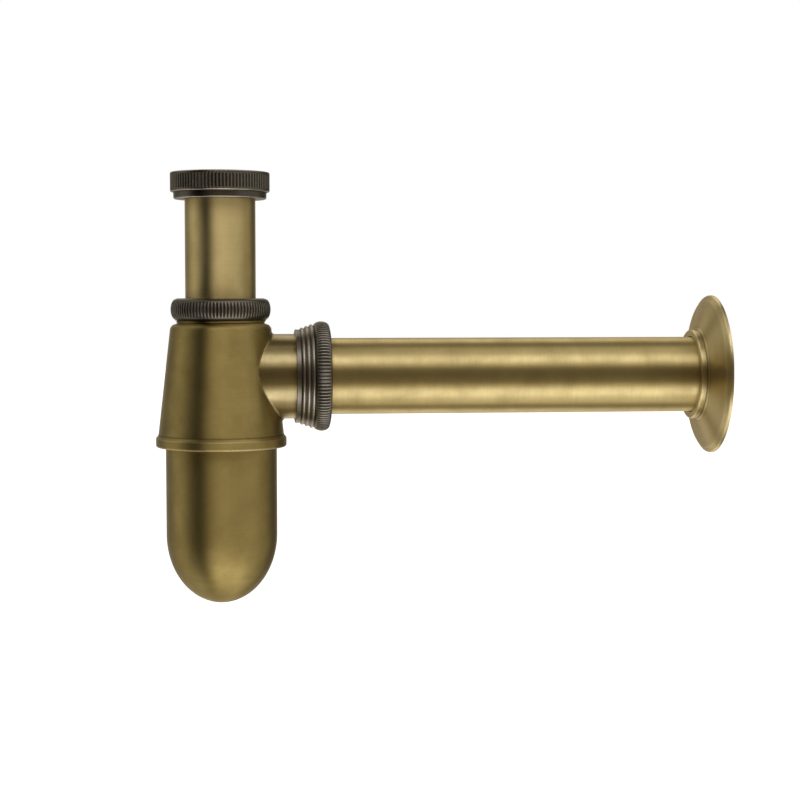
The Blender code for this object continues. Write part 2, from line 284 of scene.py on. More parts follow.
def joined(target, others):
    """Runs the booleans of (operation, object) pairs on target, then gives its points the marks of the
    nearest points of the shapes that it was made from."""
    sources = [target.data.copy()] + [other.data for _, other in others]
    for operation, other in others:
        change = target.modifiers.new(operation, "BOOLEAN")
        change.operation = operation
        change.solver = "EXACT"
        change.object = other
    evaluated = target.evaluated_get(bpy.context.evaluated_depsgraph_get())
    mesh = bpy.data.meshes.new_from_object(evaluated)
    target.modifiers.clear()
    mesh.materials.clear()
    bm = bmesh.new()
    bm.from_mesh(mesh)
    bmesh.ops.remove_doubles(bm, verts=bm.verts, dist=SLIVER * MM)
    bmesh.ops.dissolve_degenerate(bm, edges=bm.edges, dist=SLIVER * MM)
    bm.to_mesh(mesh)
    bm.free()
    tree = KDTree(sum(len(source.vertices) for source in sources))
    marks = []
    for source in sources:
        layers = [source.attributes[layer].data for layer in ("grain", "wear_and_sheen", "grime_and_shade")]
        for i, vertex in enumerate(source.vertices):
            tree.insert(vertex.co, len(marks))
            marks.append((layers[0][i].vector.copy(), layers[1][i].value, layers[2][i].value))
    tree.balance()
    for layer, kind in (("grain", "FLOAT_VECTOR"), ("wear_and_sheen", "FLOAT"), ("grime_and_shade", "FLOAT")):
        if layer in mesh.attributes:
            mesh.attributes.remove(mesh.attributes[layer])
        mesh.attributes.new(layer, kind, "POINT")
    found = [marks[tree.find(vertex.co)[1]] for vertex in mesh.vertices]
    mesh.attributes["grain"].data.foreach_set("vector", [c for mark in found for c in mark[0]])
    mesh.attributes["wear_and_sheen"].data.foreach_set("value", [mark[1] for mark in found])
    mesh.attributes["grime_and_shade"].data.foreach_set("value", [mark[2] for mark in found])
    for _, other in others:
        bpy.data.objects.remove(other)
    mesh.shade_smooth()
    mesh.set_sharp_from_angle(angle=radians(38))
    target.data = mesh
    weighting = target.modifiers.new("large_faces_lead", "WEIGHTED_NORMAL")
    weighting.keep_sharp = True
    evaluated = target.evaluated_get(bpy.context.evaluated_depsgraph_get())
    target.data = bpy.data.meshes.new_from_object(evaluated)
    target.modifiers.clear()


# ---------------------------------------------------------------- materials


class Nodes:
    """Short calls for building a node tree."""

    def __init__(self, tree):
        self.tree = tree

    def add(self, kind, **settings):
        node = self.tree.nodes.new(kind)
        for key, value in settings.items():
            setattr(node, key, value)
        return node

    def link(self, source, target):
        self.tree.links.new(source, target)

    def give(self, value, socket):
        """Sets a socket to a colour or a number, or links another socket to it."""
        if isinstance(value, tuple):
            socket.default_value = (*value, 1.0)
        elif isinstance(value, (int, float)):
            socket.default_value = value
        else:
            self.link(value, socket)

    def math(self, operation, *values):
        node = self.add("ShaderNodeMath", operation=operation)
        for socket, value in zip(node.inputs, values):
            self.give(value, socket)
        return node.outputs[0]

    def mix(self, kind, share, first, second):
        node = self.add("ShaderNodeMix", data_type="RGBA", blend_type=kind)
        sockets = node.inputs["Factor"], node.inputs[6], node.inputs[7]
        for value, socket in zip((share, first, second), sockets):
            self.give(value, socket)
        return node.outputs[2]

    def blend(self, share, first, second):
        return self.mix("MIX", share, first, second)

    def smooth(self, value, low, high):
        """0 below low and 1 above high, with a soft step between them."""
        node = self.add("ShaderNodeMapRange", interpolation_type="SMOOTHSTEP")
        self.link(value, node.inputs["Value"])
        node.inputs["From Min"].default_value, node.inputs["From Max"].default_value = low, high
        return node.outputs["Result"]

    def ramp(self, share, stops):
        """A colour ramp from (position, colour) rows, with soft steps."""
        node = self.add("ShaderNodeValToRGB")
        node.color_ramp.interpolation = "EASE"
        elements = node.color_ramp.elements
        elements[0].position, elements[0].color = stops[0][0], (*stops[0][1], 1.0)
        elements[1].position, elements[1].color = stops[-1][0], (*stops[-1][1], 1.0)
        for position, colour in stops[1:-1]:
            elements.new(position).color = (*colour, 1.0)
        self.link(share, node.inputs[0])
        return node.outputs["Color"]


class Finish(Nodes):
    """The node tree of one material."""

    def __init__(self, name):
        self.material = bpy.data.materials.new(name)
        self.material.use_nodes = True
        super().__init__(self.material.node_tree)
        self.shader = self.tree.nodes["Principled BSDF"]

    def mark(self, name, output="Fac"):
        return self.add("ShaderNodeAttribute", attribute_name=name).outputs[output]

    def noise(self, where, scale, detail=3.0, roughness=0.5):
        node = self.add("ShaderNodeTexNoise")
        node.inputs["Scale"].default_value = scale
        node.inputs["Detail"].default_value = detail
        node.inputs["Roughness"].default_value = roughness
        self.link(where, node.inputs["Vector"])
        return node.outputs["Fac"]

    def scaled(self, where, factors):
        node = self.add("ShaderNodeVectorMath", operation="MULTIPLY")
        self.link(where, node.inputs[0])
        node.inputs[1].default_value = factors
        return node.outputs[0]

    def remap(self, value, low, high, to_low, to_high):
        node = self.add("ShaderNodeMapRange")
        self.link(value, node.inputs["Value"])
        node.inputs["From Min"].default_value = low
        node.inputs["From Max"].default_value = high
        node.inputs["To Min"].default_value = to_low
        node.inputs["To Max"].default_value = to_high
        return node.outputs["Result"]

    def bump(self, height, strength, distance):
        node = self.add("ShaderNodeBump")
        node.inputs["Strength"].default_value = strength
        node.inputs["Distance"].default_value = distance
        self.link(height, node.inputs["Height"])
        return node.outputs["Normal"]


TURNING_LINES = (0.05, 0.05, 4.0)  # long round the axis, fine along it


def brass(name, axis, colour, dark, bright, roughness, patina, grime_and_shade_share=0.85, anisotropy=0.95):
    """Lacquered antique brass: fine turning lines, a cloudy brown tone, corners darkened by patina with
    painted shade, and edges lightened by rubbing with a painted highlight.
    """
    n = Finish(name)
    grain = n.mark("grain", "Vector")
    clouds = n.noise(grain, scale=0.09, detail=4.0, roughness=0.55)
    specks = n.noise(grain, scale=1.3, detail=3.0, roughness=0.6)
    lines = n.noise(n.scaled(grain, TURNING_LINES), scale=1.0, detail=4.0, roughness=0.65)
    tone = n.blend(n.remap(clouds, 0.35, 0.72, 0.0, 0.42 * patina), colour, dark)
    tone = n.blend(n.remap(specks, 0.52, 0.8, 0.0, 0.3 * patina), tone, dark)
    tone = n.blend(n.remap(lines, 0.45, 0.75, 0.0, 0.14), tone, dark)
    # Edges and crests lighten towards bright: partly rubbed wear, partly a painted highlight.
    wear_and_sheen_amount = n.math("MULTIPLY", n.mark("wear_and_sheen"), n.remap(specks, 0.3, 0.6, 0.35, 0.9))
    tone = n.blend(wear_and_sheen_amount, tone, bright)
    # Corners and valleys darken towards a quarter of dark: partly patina, partly painted shade.
    grime_and_shade_amount = n.math("MULTIPLY", n.mark("grime_and_shade"), n.remap(specks, 0.25, 0.6, 0.7 * grime_and_shade_share, grime_and_shade_share))
    grime_and_shade_amount = n.math("MINIMUM", grime_and_shade_amount, 0.95)
    tone = n.blend(grime_and_shade_amount, tone, tuple(0.25 * c for c in dark))
    n.link(tone, n.shader.inputs["Base Color"])
    ripple = 0.035
    rough = n.remap(lines, 0.3, 0.7, roughness - ripple, roughness + ripple)
    rough = n.math("ADD", rough, n.remap(clouds, 0.3, 0.7, -0.025, 0.045))
    rough = n.math("ADD", rough, n.math("MULTIPLY", grime_and_shade_amount, 0.22))
    n.link(n.math("SUBTRACT", rough, n.math("MULTIPLY", wear_and_sheen_amount, 0.06)), n.shader.inputs["Roughness"])
    n.link(n.bump(lines, 0.35, 0.00002), n.shader.inputs["Normal"])
    n.shader.inputs["Metallic"].default_value = 1.0
    n.shader.inputs["Anisotropic"].default_value = anisotropy
    n.shader.inputs["Anisotropic Rotation"].default_value = 0.25
    tangent = n.add("ShaderNodeTangent", direction_type="RADIAL", axis=axis)
    n.link(tangent.outputs[0], n.shader.inputs["Tangent"])
    return n.material


def rubber():
    """Moulded black rubber with a faint bloom and a fine matt grain."""
    n = Finish("black_rubber")
    grain = n.mark("grain", "Vector")
    bloom = n.noise(grain, scale=0.35, detail=4.0, roughness=0.6)
    pores = n.noise(grain, scale=6.0, detail=2.0, roughness=0.5)
    tone = n.blend(n.remap(bloom, 0.4, 0.75, 0.0, 1.0), (0.012, 0.012, 0.012), (0.035, 0.034, 0.032))
    # Rounded edges a touch lighter: partly rubbed wear, partly a painted sheen.
    tone = n.blend(n.mark("wear_and_sheen"), tone, (0.05, 0.048, 0.045))
    n.link(tone, n.shader.inputs["Base Color"])
    n.link(n.remap(bloom, 0.3, 0.7, 0.58, 0.78), n.shader.inputs["Roughness"])
    n.link(n.bump(pores, 0.5, 0.00004), n.shader.inputs["Normal"])
    return n.material


def nylon():
    """Natural nylon: cream, slightly translucent, with moulding haze."""
    n = Finish("white_nylon")
    grain = n.mark("grain", "Vector")
    haze = n.noise(grain, scale=0.5, detail=3.0, roughness=0.5)
    tone = n.blend(n.remap(haze, 0.35, 0.7, 0.0, 1.0), (0.74, 0.71, 0.63), (0.66, 0.62, 0.52))
    # Inner corners darker: partly grime, partly painted shade.
    tone = n.blend(n.mark("grime_and_shade"), tone, (0.42, 0.38, 0.3))
    n.link(tone, n.shader.inputs["Base Color"])
    n.link(n.remap(haze, 0.3, 0.7, 0.34, 0.5), n.shader.inputs["Roughness"])
    n.link(n.bump(n.noise(grain, scale=3.0, detail=2.0), 0.3, 0.00003), n.shader.inputs["Normal"])
    n.shader.inputs["Subsurface Weight"].default_value = 0.15
    n.shader.inputs["Subsurface Radius"].default_value = (0.002, 0.0018, 0.0014)
    return n.material


TUBE = dict(
    colour=(0.70, 0.56, 0.25),
    dark=(0.40, 0.285, 0.105),
    bright=(0.86, 0.72, 0.42),
    roughness=0.44,
    patina=0.55,
)
CAST = dict(
    colour=(0.415, 0.315, 0.108),
    dark=(0.20, 0.135, 0.042),
    bright=(0.76, 0.61, 0.31),
    roughness=0.43,
    patina=0.8,
)
SPIGOT = dict(
    colour=(0.44, 0.355, 0.17),
    dark=(0.19, 0.125, 0.044),
    bright=(0.78, 0.64, 0.36),
    roughness=0.33,
    patina=0.7,
)
BRONZE = dict(
    colour=(0.15, 0.135, 0.105),
    dark=(0.055, 0.046, 0.034),
    bright=(0.52, 0.475, 0.39),
    roughness=0.33,
    patina=1.0,
    anisotropy=0.5,
)
MATERIALS = {
    "tube_z": brass("tube_brass_upright", "Z", **TUBE),
    "tube_x": brass("tube_brass_level", "X", **TUBE),
    "tube_flange": brass("flange_brass", "X", **{**TUBE, "colour": (0.64, 0.515, 0.24), "roughness": 0.4}),
    "cast_z": brass("cast_brass_upright", "Z", **CAST),
    "cast_x": brass("spigot_brass_level", "X", **SPIGOT),
    "cast_bowl": brass("cast_brass_bowl", "Z", **CAST, anisotropy=0.8),
    "bronze_z": brass("dark_bronze_upright", "Z", **BRONZE),
    "bronze_body": brass("dark_bronze_darker", "Z", **{**BRONZE, "colour": (0.12, 0.105, 0.08)}),
    "bronze_x": brass("dark_bronze_level", "X", **{**BRONZE, "colour": (0.19, 0.172, 0.138)}),
    "rubber": rubber(),
    "nylon": nylon(),
}


def shown_as(node, body, material, obj):
    """Makes the finer piece stand for its node, ride on the node's body and take its finish from a slot."""
    obj.data.materials.append(MATERIALS[material])
    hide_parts(node)
    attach(obj, body)


# ---------------------------------------------------------------- pieces round the inlet axis


def ribs_for(radius):
    return round(2 * pi * radius / RIB_PITCH)


def inlet_nut():
    """A straight nut with ribs and a plain lip under them. Its thread lies above the flare and the washer."""
    outer = radius_of("inlet_nut")
    low, high = ends_of("inlet_nut")
    mouth_r, ribs_low, lip_r = 21.3, -8.9, 21.0
    chamber_r, floor = 20.5, low + LIP_THICK
    thread_low, thread_high = -5.7, -0.5
    ribs = ribs_for(outer)
    cut = knurl(ribs, ribs_low + 0.7, high - 0.9, run=0.7)
    female = thread(UNION_THREAD, 1, thread_low, thread_high)
    corners = [
        Corner(mouth_r, high, 0.25),
        Corner(outer, high, 0.9, 0.35, cut),
        Corner(outer, ribs_low, 0.7),
        Corner(lip_r + 0.1, ribs_low, 0.25),
        Corner(lip_r, low, 0.7),
        Corner(INLET_HOLE_R, low, 0.25),
        Corner(INLET_HOLE_R, floor, 0.2),
        Corner(chamber_r, floor, 0.3),
        Corner(chamber_r, thread_low - 0.2, 0.15),
        Corner(UNION_R, thread_low, 0.0, THREAD_STEP, female),
        Corner(UNION_R, thread_high - 0.2, 0.15),
    ]
    obj = lathe("inlet_nut_knurled", corners, segments=ribs * KNURLED_SEGMENTS)
    shown_as("inlet_nut", "inlet_nut", "bronze_z", obj)


def inlet_tube():
    low, high = ends_of("inlet_tube")
    flare_r, flare_low = radius_of("inlet_tube"), high - FLARE_THICK
    corners = [
        Corner(INLET_BORE_R, high, 1.2),
        Corner(flare_r, high, 0.4),
        Corner(flare_r, flare_low, 0.4),
        Corner(INLET_R, flare_low, 0.6, TUBE_STEP),
        Corner(INLET_R, low, 0.3),
        Corner(INLET_BORE_R, low, 0.3, TUBE_STEP),
    ]
    shown_as("inlet_tube", "inlet", "tube_z", lathe("inlet_tube_drawn", corners))


def flat_ring(node, body, material, inner, outer, fillet, along="Z"):
    low, high = ends_of(node, along)
    corners = [
        Corner(inner, high, fillet),
        Corner(outer, high, fillet),
        Corner(outer, low, fillet),
        Corner(inner, low, fillet),
    ]
    shown_as(node, body, material, lathe(node + "_moulded", corners, along, segments=SEAL_SEGMENTS))


def inlet_washer():
    flat_ring("inlet_washer", "inlet", "rubber", 15.6, radius_of("inlet_washer"), fillet=0.35)


def body_slip_ring():
    flat_ring("body_slip_ring", "body_slip_ring", "nylon", 16.4, 19.9, fillet=0.15)


def body_nut():
    """A cushion-shaped nut with ribs round its bulge and a plain collar above and below."""
    outer = radius_of("body_nut")
    low, high = ends_of("body_nut")
    half, middle = (high - low) / 2, (high + low) / 2
    crown, mouth_r = 2.5, 20.75
    lip_low = high - LIP_THICK
    ribs = ribs_for(outer)
    cut = knurl(ribs, low + 1.1, high - 1.1, run=1.6)
    female = thread(UNION_THREAD, 1, low + 0.3, lip_low - 1.5)
    corners = [
        Corner(INLET_HOLE_R, high, 0.4),
        Corner(outer - crown - 0.6, high, 0.5),
        *arc(outer - crown, middle, crown, 72, -72, 22, stretch=(half - 0.25) / crown, relief=cut),
        Corner(outer - crown + 0.2, low, 0.3),
        Corner(mouth_r, low, 0.3),
        Corner(UNION_R, low + 0.6, 0.1, THREAD_STEP, female),
        Corner(UNION_R, lip_low - 1.4, 0.1),
        Corner(UNION_RELIEF_R, lip_low - 1.2, 0.1),
        Corner(UNION_RELIEF_R, lip_low, 0.3),
        Corner(INLET_HOLE_R, lip_low, 0.2),
    ]
    obj = lathe("body_nut_knurled", corners, segments=ribs * KNURLED_SEGMENTS)
    shown_as("body_nut", "body_nut", "bronze_body", obj)


def cone_washer(node, body, along, bore, mouth, mouth_r, guide_r, depth):
    """A tapered seal in a seat: a brim over its mouth, and a cone that follows it down to the nose."""
    nose = mouth_r - (mouth_r - guide_r) * depth / SEAT_DEPTH - SEAL_GAP
    brim_r, brim_low, brim_high = 19.55, mouth + SEAL_GAP, mouth + 1.0
    corners = [
        Corner(bore, brim_high, 0.15),
        Corner(brim_r, brim_high, 0.25),
        Corner(brim_r, brim_low, 0.2),
        Corner(mouth_r - 0.35, brim_low, 0.15),
        Corner(nose, mouth - depth, 0.12),
        Corner(bore, mouth - depth, 0.1),
    ]
    shown_as(node, body, "rubber", lathe(node + "_moulded", corners, along, segments=SEAL_SEGMENTS))


def body_cone_washer():
    bore, depth = 16.3, 3.4
    cone_washer("body_cone_washer", "inlet_seal", "Z", bore, NECK_TOP, SEAT_MOUTH_R, GUIDE_R, depth)


# The casting: neck, seat of the inlet seal, shoulder, chamber, and skirt with the bowl's thread
NECK_TOP, NECK_THREAD_LOW, NECK_LOW = -61.2, -67.7, -68.1
SEAT_MOUTH_R, SEAT_DEPTH = 18.4, 5.0
GUIDE_R, GUIDE_LOW = 16.7, -71.5
SHOULDER_R, SHOULDER_Z, SHOULDER_FILLET = 23.1, -71.6, 3.0
CHAMBER_TOP, BODY_WALL = -75.5, 2.4
GASKET_BORE_R, GASKET_SEAT_R = 22.2, 24.9
THREAD_TOP, THREAD_LOW = -112.0, -120.7
SKIRT_TOP, SKIRT_LOW = -120.6, -124.6
SKIRT_SLOPE = 1.5  # height of the slope that leads out to the skirt
SKIRT_BORE_R, SKIRT_MOUTH_R = 25.6, 26.0
PAST_END = 3  # how far a cutter runs past the end that it opens

# The spigot, as distances along +X from the inlet axis
SPIGOT_START, SPIGOT_CORE_START = 8.0, 4.0
SPIGOT_THREAD_START, SPIGOT_END = 34.7, 44.6
SPIGOT_ROOT_R, SPIGOT_TIP_R = 19.4, 19.6
SPIGOT_GUIDE_R, SPIGOT_MOUTH_R = 17.95, 18.8
SPIGOT_CORE_END_R = 18.9
SPIGOT_SEGMENTS, SPIGOT_CORE_SEGMENTS = 180, 144

# The rounded root of the spigot
ROOT_FILLET = 1.6
FILLET_DIP = 0.04  # how far the root fillet's edges sink into the metal on each side
FILLET_DEPTH = 0.6  # how far its inner edge lies inside the metal, past the corner that it rounds
FILLET_STATIONS = 180
FILLET_SEGMENTS = 8
FILLET_REACH = 3.0  # how far round the spigot its own finish goes up the cone


def cone_radius(z):
    share = (SHOULDER_Z - z) / (SHOULDER_Z - SKIRT_TOP)
    return SHOULDER_R + share * (radius_of("trap_body") - 1.0 - SHOULDER_R)


def root_fillet():
    """The rounded root of the spigot: the surface of a ball rolled round between it and the cone."""
    slope = atan2(cone_radius(-1.0) - cone_radius(0.0), 1.0)
    ball = ROOT_FILLET - FILLET_DIP
    mesh = bpy.data.meshes.new("root_fillet")
    bm = bmesh.new()
    grain = bm.verts.layers.float_vector.new("grain")
    bm.verts.layers.float.new("wear_and_sheen")
    grime_and_shade = bm.verts.layers.float.new("grime_and_shade")
    rows = []
    for i in range(FILLET_STATIONS):
        angle = 2 * pi * i / FILLET_STATIONS
        out = Vector((0.0, sin(angle), -cos(angle)))
        centre = Vector((0.0, 0.0, OUTLET_Z)) + out * (SPIGOT_ROOT_R + ball)
        centre.x = sqrt((cone_radius(centre.z) + ball / cos(slope)) ** 2 - centre.y**2)
        turn = atan2(centre.y, centre.x)
        to_cone = -Vector((cos(turn) * cos(slope), sin(turn) * cos(slope), sin(slope)))
        to_spigot = -out
        between = to_cone.angle(to_spigot)
        row = []
        for k in range(FILLET_SEGMENTS + 1):
            share = k / FILLET_SEGMENTS
            spoke = to_cone * sin((1 - share) * between) + to_spigot * sin(share * between)
            row.append(centre + spoke / sin(between) * ROOT_FILLET)
        row.append(centre + (to_cone + to_spigot).normalized() * (ball / cos(between / 2) + FILLET_DEPTH))
        rows.append([bm.verts.new(point * MM) for point in row])
        for k, vert in enumerate(rows[-1]):
            vert[grain] = Vector((OUTLET_Z - row[k].z, row[k].y, row[k].x))
            # The crease at the spigot's root is darkened at half strength: partly patina, partly painted
            # shade.
            vert[grime_and_shade] = 0.5 * sin(pi * min(1.0, k / FILLET_SEGMENTS))
    for row, after in zip(rows, rows[1:] + rows[:1]):
        for k in range(len(row)):
            m = (k + 1) % len(row)
            bm.faces.new((row[k], row[m], after[m], after[k]))
    bmesh.ops.recalc_face_normals(bm, faces=bm.faces)
    bm.to_mesh(mesh)
    bm.free()
    obj = bpy.data.objects.new("root_fillet", mesh)
    bpy.context.scene.collection.objects.link(obj)
    return obj


def body_shell():
    """The outside of the casting as a solid: threaded neck, rounded shoulder, cone and skirt."""
    skirt_r = radius_of("trap_body")
    male = thread(UNION_THREAD, -1, NECK_THREAD_LOW, NECK_TOP - 0.5)
    corners = [
        Corner(0, NECK_TOP),
        Corner(UNION_R, NECK_TOP, 0.6),
        Corner(UNION_R, NECK_TOP - 0.75, 0.0, THREAD_STEP, male),
        Corner(UNION_R, NECK_THREAD_LOW, 0.0),
        Corner(UNION_R - 0.5, NECK_LOW, 0.2),
        *arc(SHOULDER_R - SHOULDER_FILLET, SHOULDER_Z, SHOULDER_FILLET, 84, 0, 9)[:-1],
        Corner(SHOULDER_R, SHOULDER_Z, 0.0, 0.9),
        Corner(cone_radius(SKIRT_TOP + SKIRT_SLOPE), SKIRT_TOP + SKIRT_SLOPE, 1.5),
        Corner(skirt_r, SKIRT_TOP, 0.6),
        Corner(skirt_r, SKIRT_LOW, 0.9),
        Corner(0, SKIRT_LOW),
    ]
    return lathe("trap_body_cast", corners, closed=False, segments=FINE_SEGMENTS)


def body_core():
    """The hollow of the casting: seat, guide, chamber, gasket seat, the bowl's thread and the mouth."""
    thread_start = THREAD_TOP - 2.6
    female = thread(BOWL_THREAD, 1, THREAD_LOW + 0.2, thread_start)
    chamber_low = THREAD_TOP + 3.8
    corners = [
        Corner(0, NECK_TOP + PAST_END),
        Corner(SEAT_MOUTH_R + 0.3, NECK_TOP + PAST_END),
        Corner(SEAT_MOUTH_R, NECK_TOP, 0.3),
        Corner(GUIDE_R, NECK_TOP - SEAT_DEPTH, 0.3),
        Corner(GUIDE_R, GUIDE_LOW, 1.0),
        Corner(cone_radius(CHAMBER_TOP) - BODY_WALL, CHAMBER_TOP, 2.5, 1.5),
        Corner(cone_radius(chamber_low) - BODY_WALL, chamber_low, 1.5),
        Corner(GASKET_BORE_R, THREAD_TOP + 1.6, 0.4),
        Corner(GASKET_BORE_R, THREAD_TOP, 0.2),
        Corner(GASKET_SEAT_R, THREAD_TOP, 0.3),
        Corner(GASKET_SEAT_R, thread_start + 0.1, 0.1),
        Corner(BOWL_THREAD_R, thread_start, 0.0, THREAD_STEP, female),
        Corner(BOWL_THREAD_R, THREAD_LOW + 0.1, 0.1),
        Corner(SKIRT_BORE_R, THREAD_LOW, 0.1),
        Corner(SKIRT_BORE_R, SKIRT_LOW + 0.4, 0.2),
        Corner(SKIRT_MOUTH_R, SKIRT_LOW, 0.1),
        Corner(SKIRT_MOUTH_R, SKIRT_LOW - PAST_END),
        Corner(0, SKIRT_LOW - PAST_END),
    ]
    return lathe("core", corners, closed=False, segments=FINE_SEGMENTS)


def spigot():
    """The side outlet as a solid, from inside the cone to its threaded end."""
    male = thread(UNION_THREAD, -1, SPIGOT_THREAD_START, SPIGOT_END - 0.4)
    corners = [
        Corner(0, SPIGOT_START),
        Corner(SPIGOT_ROOT_R, SPIGOT_START, 0.0, 0.7),
        Corner(SPIGOT_ROOT_R, SPIGOT_THREAD_START - 0.3, 0.1),
        Corner(UNION_R, SPIGOT_THREAD_START, 0.0, THREAD_STEP, male),
        Corner(UNION_R, SPIGOT_END - 0.7, 0.0),
        Corner(SPIGOT_TIP_R, SPIGOT_END, 0.25),
        Corner(0, SPIGOT_END),
    ]
    return lathe("spigot", corners, "X", closed=False, segments=SPIGOT_SEGMENTS)


def spigot_core():
    """The bore of the spigot, from inside the chamber, with the seat of the outlet seal at its mouth."""
    corners = [
        Corner(0, SPIGOT_CORE_START),
        Corner(SPIGOT_GUIDE_R, SPIGOT_CORE_START),
        Corner(SPIGOT_GUIDE_R, SPIGOT_END - SEAT_DEPTH, 0.3),
        Corner(SPIGOT_MOUTH_R, SPIGOT_END, 0.15),
        Corner(SPIGOT_CORE_END_R, SPIGOT_END + PAST_END),
        Corner(0, SPIGOT_END + PAST_END),
    ]
    return lathe("spigot_core", corners, "X", closed=False, segments=SPIGOT_CORE_SEGMENTS)


def trap_body():
    """The casting. The spigot and its root have a finish of their own, turned round the outlet axis."""
    body = body_shell()
    changes = [
        ("UNION", spigot()),
        ("UNION", root_fillet()),
        ("DIFFERENCE", body_core()),
        ("DIFFERENCE", spigot_core()),
    ]
    joined(body, changes)
    shown_as("trap_body", "body", "cast_z", body)
    body.data.materials.append(MATERIALS["cast_x"])
    clear_of_cone = 0.2 * MM
    for face in body.data.polygons:
        across = Vector((face.center.y, face.center.z - OUTLET_Z * MM)).length
        cone = cone_radius(face.center.z / MM) * MM
        past_cone = Vector(face.center[:2]).length > cone + clear_of_cone
        near_spigot = face.center.x > 0 and across < (SPIGOT_ROOT_R + FILLET_REACH) * MM
        face.material_index = int(near_spigot and past_cone)


def bowl_gasket():
    flat_ring("bowl_gasket", "bowl_gasket", "rubber", 22.5, 24.3, fillet=0.3)


def bowl():
    """A spun cup: threaded rim, straight wall and a long rounded bottom."""
    outer = radius_of("bowl")
    low, rim = ends_of("bowl")
    wall, rim_bore_r, rim_r = 1.5, 22.4, 24.3
    inner = outer - wall
    shoulder = THREAD_LOW - 0.3
    dome_top = -164.9
    depth = dome_top - low
    male = thread(BOWL_THREAD, -1, shoulder + 0.2, rim - 0.4)
    inner_dome = arc(0, dome_top, inner, -90, 0, 30, (depth - wall) / inner)
    outer_dome = arc(0, dome_top, outer, 0, -90, 36, depth / outer)
    corners = [
        Corner(0, inner_dome[0].h),
        *inner_dome[1:],
        Corner(inner, THREAD_LOW - 2.6, 1.0),
        Corner(rim_bore_r, THREAD_LOW - 1.2, 1.0),
        Corner(rim_bore_r, rim, 0.3),
        Corner(rim_r, rim, 0.3),
        Corner(BOWL_THREAD_R, rim - 0.6, 0.0, THREAD_STEP, male),
        Corner(BOWL_THREAD_R, shoulder + 0.2, 0.0),
        Corner(BOWL_THREAD_R, shoulder, 0.1),
        Corner(outer, shoulder, 0.2, 3.0),
        *outer_dome[:-1],
        Corner(0, outer_dome[-1].h),
    ]
    shown_as("bowl", "bowl", "cast_bowl", lathe("bowl_spun", corners, closed=False, segments=FINE_SEGMENTS))


# ---------------------------------------------------------------- pieces round the outlet axis


def outlet_nut():
    """Three turned rings on the tapering back, a broad rounded band with ribs, and a plain front face."""
    outer = radius_of("outlet_nut")
    start, end = ends_of("outlet_nut", "X")
    lip_low = end - OUTLET_LIP_THICK
    crown, band, half = 2.3, 45.75, 3.6
    tail_r, mouth_r = 21.5, 20.8
    ribs = ribs_for(outer)
    cut = knurl(ribs, band - 3.4, end - 0.5, run=1.2)
    female = thread(UNION_THREAD, 1, start + 0.6, lip_low - 1.8)
    corners = [
        Corner(OUTLET_HOLE_R, end, 0.35),
        Corner(outer - crown - 0.6, end, 0.5),
        *arc(outer - crown, band, crown, 70, -70, 22, stretch=half / crown, relief=cut),
        Corner(outer - crown + 0.1, band - half - 0.1, 0.2),
        *turned_rings(),
        Corner(tail_r, start, 0.3),
        Corner(mouth_r, start, 0.2),
        Corner(UNION_R, start + 0.6, 0.1, THREAD_STEP, female),
        Corner(UNION_R, lip_low - 1.7, 0.1),
        Corner(UNION_RELIEF_R, lip_low - 1.5, 0.1),
        Corner(UNION_RELIEF_R, lip_low, 0.3),
        Corner(OUTLET_HOLE_R, lip_low, 0.2),
    ]
    obj = lathe("outlet_nut_knurled", corners, "X", segments=ribs * KNURLED_SEGMENTS)
    shown_as("outlet_nut", "outlet_nut", "bronze_x", obj)


def turned_rings():
    """Corners of the outlet nut's rings, each smaller than the one before, with a groove after each."""
    count, first_x, pitch = 3, 41.1, 2.15
    first_r, fall, bead = 23.8, 0.75, 0.75
    corners = []
    for i in range(count):
        x, r = first_x - pitch * i, first_r - fall * i
        # Each ring's crest is lightened: partly rubbed brightness, partly a painted highlight.
        corners += arc(r - bead, x, bead, 70, -70, 8, relief=rubbed_crest_with_sheen)
        corners.append(Corner(r - 0.95, x - 1.08, 0.3))
    return corners


def outlet_slip_ring():
    flat_ring("outlet_slip_ring", "outlet_slip_ring", "nylon", 17.9, 19.9, fillet=0.2, along="X")


def outlet_cone_washer():
    bore, depth = 17.7, 2.6
    cone_washer("outlet_cone_washer", "body", "X", bore, SPIGOT_END, SPIGOT_MOUTH_R, SPIGOT_GUIDE_R, depth)


def outlet_tube():
    start, end = ends_of("outlet_tube", "X")
    outer = radius_of("outlet_tube")
    corners = [
        Corner(OUTLET_BORE_R, end, 0.3),
        Corner(outer, end, 0.4, TUBE_STEP),
        Corner(outer, start, 0.5),
        Corner(OUTLET_BORE_R, start, 0.3, TUBE_STEP),
    ]
    shown_as("outlet_tube", "outlet_tube", "tube_x", lathe("outlet_tube_drawn", corners, "X"))


